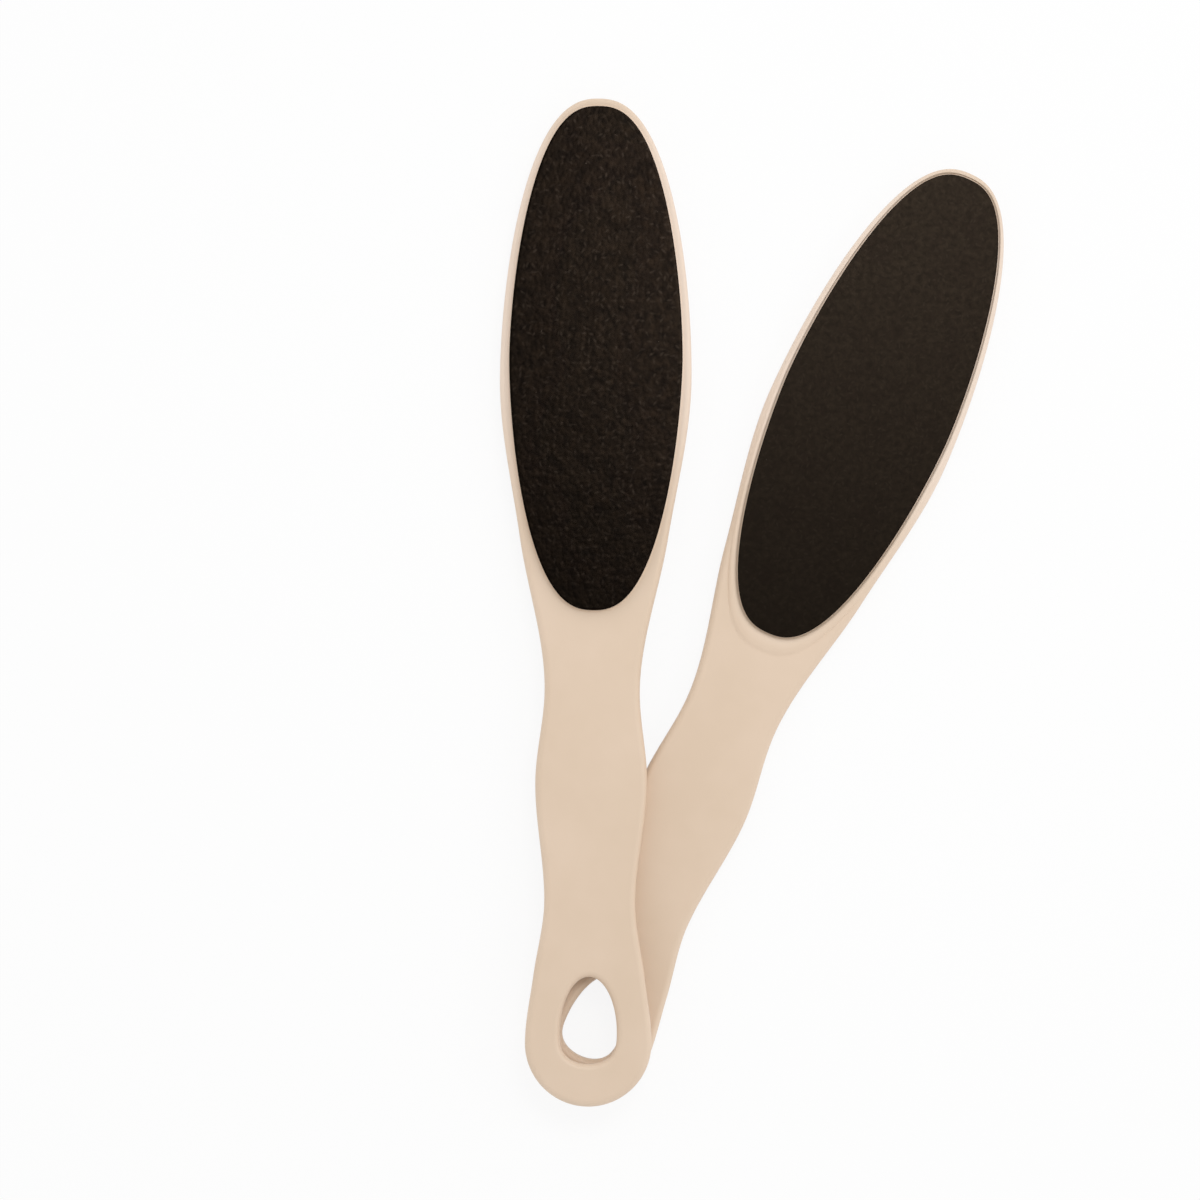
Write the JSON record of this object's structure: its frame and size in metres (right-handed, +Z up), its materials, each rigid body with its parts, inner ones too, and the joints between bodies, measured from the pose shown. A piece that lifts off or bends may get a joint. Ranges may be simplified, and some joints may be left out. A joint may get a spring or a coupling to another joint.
{
  "type": "foot file pair",
  "caption": "Long moulded plastic foot files with an oval abrasive pad on each face of the head and a hang hole in the handle, one laid across the other.",
  "frame": {"origin": "middle of the pair's footprint, on the surface that it lies on", "axes": "+Y along the upper file towards its head, +X to the right where the lower file's head lies, +Z up"},
  "size_m": [0.11, 0.22, 0.0115],
  "materials": {
    "cream_plastic": "satin injection-moulded cream plastic with a fine even skin",
    "adhesive": "thin clear-amber pressure-sensitive adhesive film",
    "backing_paper": "dark heavyweight abrasive backing paper",
    "coarse_grit": "near-black coarse abrasive grain in dark resin, matt with a few pale grains",
    "fine_grit": "near-black fine abrasive grain in dark resin, even and matt"
  },
  "bodies": {
    "lower_file": {"lower_body": "cream_plastic", "lower_coarse_adhesive": "adhesive", "lower_coarse_backing": "backing_paper", "lower_coarse_grit": "coarse_grit", "lower_fine_adhesive": "adhesive", "lower_fine_backing": "backing_paper", "lower_fine_grit": "fine_grit"},
    "upper_file": {"upper_body": "cream_plastic", "upper_coarse_adhesive": "adhesive", "upper_coarse_backing": "backing_paper", "upper_coarse_grit": "coarse_grit", "upper_fine_adhesive": "adhesive", "upper_fine_backing": "backing_paper", "upper_fine_grit": "fine_grit"}
  },
  "joints": [
    {"name": "upper_file_lift", "type": "slide", "parent": "lower_file", "child": "upper_file", "axis": [0, 0, 1], "range_m": [0, 0.06]}
  ]
}
